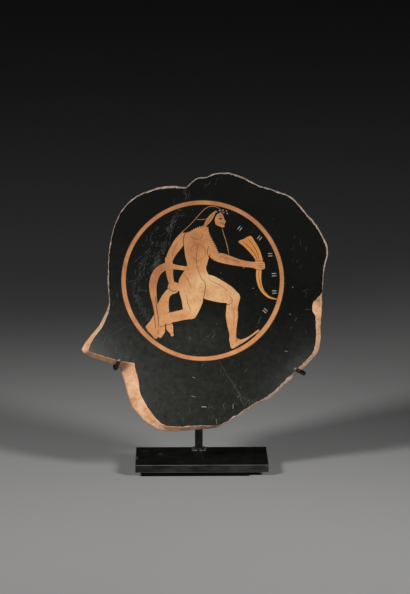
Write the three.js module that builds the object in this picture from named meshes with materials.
// A sherd of a red-figure kylix, a shallow drinking cup: the floor of the bowl, broken all round, with the
// stub of its stem behind. It stands upright on a black steel stand with two claws.
// Millimetres. +X is to the right, -Y is the side the painted floor faces, and +Z is up. The origin is on the
// surface that the stand rests on, under the middle of its plate.
import * as THREE from 'three';

// The bowl. Its floor is part of a sphere, and the wall thins from the stem outwards.
const BOWL_RADIUS = 210;
const TONDO_RADIUS = 60.35; // the outside of the painted ring, which is colour only
const WALL_AT_STEM = 6.2;
const WALL_AT_EDGE = 4;
const WALL_THIN_FROM = 83;
const LEAN_BACK = THREE.MathUtils.degToRad(2);
const BOWL_CENTRE = new THREE.Vector3(0.83, 4, 144.4); // the lowest point of the bowl's floor, in the stand

// The stem is broken off behind the floor. Each pair is a radius and its height above the back of the wall.
const STEM_STUB = [[24, 0], [18.5, 1.2], [15, 3.4], [13.5, 5.7]];
const STEM_BREAK = [[12, 6.1], [6, 5.6]];
const STEM_BREAK_CENTRE = 5.3;
const STEM_BREAK_ROUGHNESS = 0.25;

// The break runs round the sherd in stretches that start at its sharp corners. Each point is a place on the
// floor, right and up from the tondo's centre, and how far the back of the wall stands out past the front.
const BREAK_LINE = [
  // From the notch at the top, round the left side to the tip
  [
    [-12.1, 69.9, -1.1], [-26, 70.2, -0.6], [-36.1, 68.8, -1.2], [-49.5, 63.4, -1.5], [-59.3, 53.9, -1.4],
    [-65, 41.4, -1.2], [-68.7, 24.2, -1], [-70, 0.2, -1], [-69.2, -17.3, -0.6], [-73.4, -30.6, 2.2],
    [-79.1, -38.4, 4.6], [-81.6, -41.8, 5.2],
  ],
  // The end of the tip, then along its underside
  [[-83.6, -45.3, 5.2]],
  [[-85, -49.6, 1.8], [-76.2, -53.2, 3]],
  // Across the notch, where the wall has flaked off at a slant
  [[-61.8, -58.6, 3.2], [-57.2, -59.4, 4.8]],
  // Down the long slanted break and along the bottom
  [
    [-51.2, -60.7, 11], [-47.8, -74.7, 11.4], [-47, -81.2, 9.8], [-43.8, -87.7, 8.3], [-38.4, -95.8, 6.1],
    [-31, -103.4, 3], [-21, -105.9, 1.8], [-3, -105.4, 1.1], [11.1, -105.2, -0.1], [26.1, -97.4, 0],
    // Up the right side, past a chip in the front, and over the top
    [36.6, -90.6, 0.3], [48.5, -83.9, 0.6], [60.6, -73.2, 0.6], [70, -64.2, 0.8], [78.4, -55.1, 1.4],
    [82.3, -49.1, 1.5], [83.6, -40.7, 1.9], [83.8, -31.9, 1.9], [83.4, -25.6, 2.8], [81.7, -20.6, 4.9],
    [81.5, -15.4, 5.2], [84.6, -11.6, 1.7], [87.7, -7.6, -1], [88.3, 1.1, -1.1], [88.7, 10.1, -0.6],
    [90.8, 24.1, -0.4], [87.6, 34.2, -0.9], [80.6, 45.4, -0.8], [76.3, 50.1, -1.3], [72.9, 54.3, -0.9],
    [63.7, 63.8, -1.2], [51.7, 68.5, -1.2], [39.4, 72.2, -1.1], [31.3, 76.7, -1.1], [19.2, 80.8, -1.1],
    [8.6, 80.3, -1.2], [2.5, 78, -1.6], [-4.1, 77.2, -1.6],
  ],
];
const BREAK_STEP = 4.8;
const BREAK_NIBBLE = 0.3; // how far the small teeth of the break go in and out
const BREAK_ROUGHNESS = 0.2; // how uneven the broken face is between its edges

// Rows of the sherd's skin: radii on the floor inside the ring and on the back round the stem, then shares of
// the way from the ring to the break, and from the front of the broken face to its back
const INNER_RADII = [20, 40, TONDO_RADIUS];
const BACK_RADIUS = 40;
const WALL_SHARES = [0.33, 0.67, 1];
const BROKEN_SHARES = [0.35, 0.7];

// The stand: a plate on a thin pad, a square post welded to the plate, and two claws brazed to the post
const PLATE = { width: 100, depth: 50, height: 6, cornerRadius: 1.6, edge: 0.5 };
const PAD = { left: -45.5, right: 35.5, depth: 48, height: 3 };
const POST = { x: -1.9, front: 16.9, side: 6, top: 153, chamfer: 0.4 };
const WELD = [[0, 5.6], [0.5, 4.4], [1.2, 3.3]]; // heights above the plate, and half the side there
const WELD_TOP = 2;
const ROD = { radius: 1.6, sides: 10, steps: 60 };
const GAP = 0.45; // between a claw and what it holds or is brazed to
// How a claw runs from the post: out to a knee, then bowed back, and then close behind the break
const CLAW_KNEE = new THREE.Vector3(9, -0.6, -0.6);
const CLAW_BOW = new THREE.Vector3(0, 3.5, -1);
const CLAW_BEHIND = { inside: 4, clear: 1.6 };
// Where each claw takes hold: its place on the floor's edge, the way out from there, how far out the back of
// the wall stands there, how far its end reaches over the floor, its root's height and its side of the post
const CLAWS = [
  { name: 'claw_left', at: [-62.9, -58.2], out: [-0.25, -0.97], ledge: 3.4, over: 0.2, root: 92, side: -1 },
  { name: 'claw_right', at: [69.7, -64.4], out: [0.86, -0.51], ledge: 2.6, over: 0.6, root: 84, side: 1 },
];

// A closed body through rows of points: a single point, loops of the same count, and a single point. The
// loops run anticlockwise as seen from outside the first point.
function skin(first, loops, last) {
  const count = loops[0].length;
  const positions = [first, ...loops.flat(), last].flatMap((p) => [p.x, p.y, p.z]);
  const end = 1 + loops.length * count;
  const faces = [];
  for (let i = 0; i < count; i++) {
    const j = (i + 1) % count;
    faces.push(0, 1 + i, 1 + j);
    for (let row = 0; row < loops.length - 1; row++) {
      const inner = 1 + row * count;
      const outer = inner + count;
      faces.push(inner + i, outer + i, outer + j, inner + i, outer + j, inner + j);
    }
    faces.push(end - count + i, end, end - count + j);
  }
  const geometry = new THREE.BufferGeometry();
  geometry.setAttribute('position', new THREE.Float32BufferAttribute(positions, 3));
  geometry.setIndex(faces);
  geometry.computeVertexNormals();
  return geometry;
}

// A point on the painted side of the bowl, at a radius and an angle round the tondo's centre
function onFloor(radius, angle) {
  const rise = BOWL_RADIUS - Math.sqrt(BOWL_RADIUS ** 2 - radius ** 2);
  return new THREE.Vector3(radius * Math.cos(angle), -rise, radius * Math.sin(angle));
}

// The direction from the bowl's inside through its wall, at a point of the floor
function throughWall(point) {
  return new THREE.Vector3(0, BOWL_RADIUS, 0).add(point).divideScalar(BOWL_RADIUS);
}

function wallAt(radius) {
  return THREE.MathUtils.lerp(WALL_AT_STEM, WALL_AT_EDGE, Math.min(radius / WALL_THIN_FROM, 1));
}

// A point on the back of the wall, or at a height above it
function onBack(radius, angle, height = 0) {
  const point = onFloor(radius, angle);
  return point.addScaledVector(throughWall(point), wallAt(radius) + height);
}

// The break as spokes: the angle of each, and the radius where it leaves the front and the back of the wall
function breakSpokes() {
  const points = BREAK_LINE.flatMap((stretch, k) => {
    const next = BREAK_LINE[(k + 1) % BREAK_LINE.length][0];
    const corners = [...stretch, next].map(([x, z, ledge]) => new THREE.Vector3(x, ledge, z));
    const curve = new THREE.CatmullRomCurve3(corners, false, 'centripetal');
    return curve.getSpacedPoints(Math.round(curve.getLength() / BREAK_STEP)).slice(0, -1);
  });
  return points.map((p, i) => {
    const nibble = BREAK_NIBBLE * Math.sin(2.4 * i) * Math.cos(0.9 * i);
    const front = Math.hypot(p.x, p.z) + nibble;
    return { angle: Math.atan2(p.z, p.x), front, back: front + p.y };
  }).sort((a, b) => a.angle - b.angle);
}

function sherdGeometry() {
  const spokes = breakSpokes();
  const loop = (place) => spokes.map(place);
  const between = (share) => ({ front, back }) => ({
    front: THREE.MathUtils.lerp(TONDO_RADIUS, front, share),
    back: THREE.MathUtils.lerp(TONDO_RADIUS, back, share),
  });
  const floor = [
    ...INNER_RADII.map((radius) => loop(({ angle }) => onFloor(radius, angle))),
    ...WALL_SHARES.map((share) => loop((s) => onFloor(between(share)(s).front, s.angle))),
  ];
  const brokenFace = BROKEN_SHARES.map((share, row) => loop((s, i) => {
    const rough = BREAK_ROUGHNESS * Math.sin(3.7 * i + 2 * row);
    const out = new THREE.Vector3(Math.cos(s.angle), 0, Math.sin(s.angle));
    return onFloor(s.front, s.angle).lerp(onBack(s.back, s.angle), share).addScaledVector(out, rough);
  }));
  const back = [
    ...[...WALL_SHARES].reverse().map((share) => loop((s) => onBack(between(share)(s).back, s.angle))),
    ...[TONDO_RADIUS, BACK_RADIUS].map((radius) => loop(({ angle }) => onBack(radius, angle))),
    ...STEM_STUB.map(([radius, height]) => loop(({ angle }) => onBack(radius, angle, height))),
    ...STEM_BREAK.map(([radius, height]) => loop(({ angle }) => {
      const rough = STEM_BREAK_ROUGHNESS * Math.sin(3 * angle) * Math.cos(5 * angle);
      return onBack(radius, angle, height + rough);
    })),
  ];
  return skin(onFloor(0, 0), [...floor, ...brokenFace, ...back], onBack(0, 0, STEM_BREAK_CENTRE));
}

function plateGeometry() {
  const { width, depth, height, cornerRadius, edge } = PLATE;
  const x = width / 2 - edge;
  const y = depth / 2 - edge;
  const r = cornerRadius - edge;
  const outline = new THREE.Shape();
  outline.moveTo(r - x, -y).lineTo(x - r, -y).absarc(x - r, r - y, r, -Math.PI / 2, 0);
  outline.lineTo(x, y - r).absarc(x - r, y - r, r, 0, Math.PI / 2);
  outline.lineTo(r - x, y).absarc(r - x, y - r, r, Math.PI / 2, Math.PI);
  outline.lineTo(-x, r - y).absarc(r - x, r - y, r, Math.PI, 1.5 * Math.PI);
  const bevel = { bevelThickness: edge, bevelSize: edge, bevelSegments: 2, curveSegments: 3 };
  return new THREE.ExtrudeGeometry(outline, { depth: height - 2 * edge, ...bevel }).translate(0, 0, edge);
}

// A square post with its edges chamfered, and the weld round its foot
function postGeometry(height) {
  const { side, chamfer } = POST;
  const square = (z, half) => {
    const cut = half - chamfer;
    const quarter = [[-half, cut], [-cut, half]];
    const turned = (x, y, turns) => (turns === 0 ? [x, y] : turned(y, -x, turns - 1));
    const corners = [0, 1, 2, 3].flatMap((turns) => quarter.map(([x, y]) => turned(x, y, turns)));
    return corners.map(([x, y]) => new THREE.Vector3(x, y, z));
  };
  const bar = [[WELD_TOP, side / 2], [height - chamfer, side / 2], [height, side / 2 - 0.8 * chamfer]];
  const loops = [...WELD, ...bar].map(([z, half]) => square(z, half));
  return skin(new THREE.Vector3(0, 0, 0), loops, new THREE.Vector3(0, 0, height));
}

// A round rod along a curve, with a rounded end
function rodGeometry(curve) {
  const { radius: rodRadius, sides, steps } = ROD;
  const frames = curve.computeFrenetFrames(steps);
  const ring = (centre, row, radius) => Array.from({ length: sides }, (_, i) => {
    const turn = (2 * Math.PI * i) / sides;
    const spoke = frames.normals[row].clone().multiplyScalar(Math.cos(turn));
    return spoke.addScaledVector(frames.binormals[row], -Math.sin(turn)).multiplyScalar(radius).add(centre);
  });
  const rows = Array.from({ length: steps + 1 }, (_, row) => row);
  const loops = rows.map((row) => ring(curve.getPointAt(row / steps), row, rodRadius));
  const end = curve.getPointAt(1);
  const along = frames.tangents[steps];
  for (const angle of [0.5, 1]) {
    const centre = end.clone().addScaledVector(along, rodRadius * Math.sin(angle));
    loops.push(ring(centre, steps, rodRadius * Math.cos(angle)));
  }
  return skin(curve.getPointAt(0), loops, end.clone().addScaledVector(along, rodRadius));
}

// A claw starts on the side of the post, runs out behind the wall, turns close round the wall's broken end
// and stops in front
function clawGeometry({ at, out, ledge, over, root, side }, sherd) {
  const radius = Math.hypot(...at);
  const foot = onFloor(radius, Math.atan2(at[1], at[0]));
  const through = throughWall(foot);
  const outwards = new THREE.Vector3(out[0], 0, out[1]);
  outwards.addScaledVector(through, -outwards.dot(through)).normalize();
  const wall = wallAt(radius);
  const bend = GAP + ROD.radius;
  const place = (away, deep) => {
    const point = foot.clone().addScaledVector(outwards, away).addScaledVector(through, deep);
    return sherd.localToWorld(point);
  };
  const turnRound = (away, deep, turns) => turns.map((turn) => {
    return place(away + bend * Math.cos(turn), deep + bend * Math.sin(turn));
  });
  const slant = -Math.atan2(ledge, wall);
  const hook = [
    ...turnRound(ledge, wall, [Math.PI / 2, Math.PI / 6, slant]),
    ...turnRound(0, 0, [slant, -Math.PI / 3, -Math.PI / 2]),
  ];
  const half = POST.side / 2;
  const start = new THREE.Vector3(POST.x + side * (half + GAP), POST.front + half, root);
  const knee = start.clone().add(new THREE.Vector3(side, 1, 1).multiply(CLAW_KNEE));
  const behind = place(-CLAW_BEHIND.inside, wall + bend + CLAW_BEHIND.clear);
  const middle = knee.clone().lerp(behind, 0.5).add(CLAW_BOW);
  const points = [start, knee, middle, behind, ...hook, place(-over - 0.1, -bend)];
  return rodGeometry(new THREE.CatmullRomCurve3(points, false, 'centripetal'));
}

const steel = new THREE.MeshStandardMaterial({ color: '#191a18', roughness: 0.5, metalness: 0.6 });
const gloss = new THREE.MeshStandardMaterial({ color: '#1d1e1b', roughness: 0.35, metalness: 0 });
const rubber = new THREE.MeshStandardMaterial({ color: '#0d0d0d', roughness: 0.85, metalness: 0 });

function named(name, geometry, material) {
  const mesh = new THREE.Mesh(geometry, material);
  mesh.name = name;
  return mesh;
}

const kylixOnStand = new THREE.Group();

const sherd = new THREE.Group();
sherd.position.copy(BOWL_CENTRE);
sherd.rotation.x = -LEAN_BACK;
sherd.add(named('cup_fragment', sherdGeometry(), gloss));
sherd.updateMatrixWorld();
kylixOnStand.add(sherd);

const pad = named('base_pad', new THREE.BoxGeometry(PAD.right - PAD.left, PAD.depth, PAD.height), rubber);
pad.position.set((PAD.left + PAD.right) / 2, 0, PAD.height / 2);
kylixOnStand.add(pad);

const plate = named('base_plate', plateGeometry(), steel);
plate.position.z = PAD.height;
kylixOnStand.add(plate);

const plateTop = PAD.height + PLATE.height;
const post = named('stand_post', postGeometry(POST.top - plateTop), steel);
post.position.set(POST.x, POST.front + POST.side / 2, plateTop);
kylixOnStand.add(post);

for (const claw of CLAWS) {
  kylixOnStand.add(named(claw.name, clawGeometry(claw, sherd), steel));
}

export default kylixOnStand;
